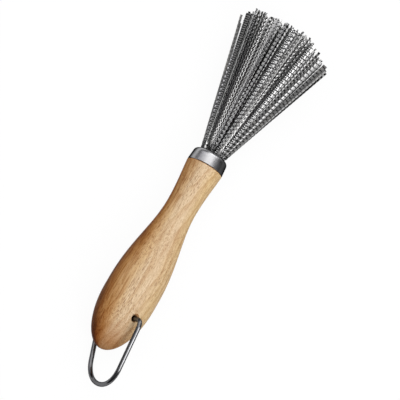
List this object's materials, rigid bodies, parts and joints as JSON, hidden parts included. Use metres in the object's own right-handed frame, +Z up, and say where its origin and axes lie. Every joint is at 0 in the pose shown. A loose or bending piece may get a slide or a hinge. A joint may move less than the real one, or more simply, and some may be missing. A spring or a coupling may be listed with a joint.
{
  "type": "pot brush",
  "caption": "Hand brush for scouring pots: turned wooden grip, steel ferrule, a fan of crimped steel strips, and a swinging wire loop to hang it by.",
  "frame": {"origin": "middle of the underside of the whole brush as it lies on a table", "axes": "+X along the brush axis, from the handle to the strips; +Y across; +Z up from the table"},
  "size_m": [0.244, 0.0634, 0.0459],
  "materials": {
    "wood": "pale oiled wood, turned and sanded",
    "ferrule_steel": "polished steel",
    "loop_wire": "bright steel wire",
    "strip_steel": "crimped flat steel strip",
    "tie_wire": "soft binding wire",
    "resin": "hard amber resin"
  },
  "bodies": {
    "brush": {"handle": "wood", "ferrule": "ferrule_steel", "resin_plug": "resin", "binding_wire": "tie_wire", "strip_01": "strip_steel", "strip_02": "strip_steel", "strip_03": "strip_steel", "strip_04": "strip_steel", "strip_05": "strip_steel", "strip_06": "strip_steel", "strip_07": "strip_steel", "strip_08": "strip_steel", "strip_09": "strip_steel", "strip_10": "strip_steel", "strip_11": "strip_steel", "strip_12": "strip_steel", "strip_13": "strip_steel", "strip_14": "strip_steel", "strip_15": "strip_steel", "strip_16": "strip_steel", "strip_17": "strip_steel", "strip_18": "strip_steel", "strip_19": "strip_steel", "strip_20": "strip_steel", "strip_21": "strip_steel", "strip_22": "strip_steel", "strip_23": "strip_steel", "strip_24": "strip_steel", "strip_25": "strip_steel", "strip_26": "strip_steel", "strip_27": "strip_steel", "strip_28": "strip_steel", "strip_29": "strip_steel", "strip_30": "strip_steel", "strip_31": "strip_steel", "strip_32": "strip_steel", "strip_33": "strip_steel", "strip_34": "strip_steel", "strip_35": "strip_steel", "strip_36": "strip_steel", "strip_37": "strip_steel", "strip_38": "strip_steel", "strip_39": "strip_steel", "strip_40": "strip_steel", "strip_41": "strip_steel", "strip_42": "strip_steel", "strip_43": "strip_steel", "strip_44": "strip_steel", "strip_45": "strip_steel", "strip_46": "strip_steel", "strip_47": "strip_steel", "strip_48": "strip_steel"},
    "loop": {"hanging_loop": "loop_wire"}
  },
  "joints": [
    {"name": "loop_swing", "type": "hinge", "parent": "brush", "child": "loop", "pos_m": [-0.07897, 0.00391, 0.01643], "axis": [0, -0.5878, 0.809], "range_deg": [-140, 112]}
  ]
}
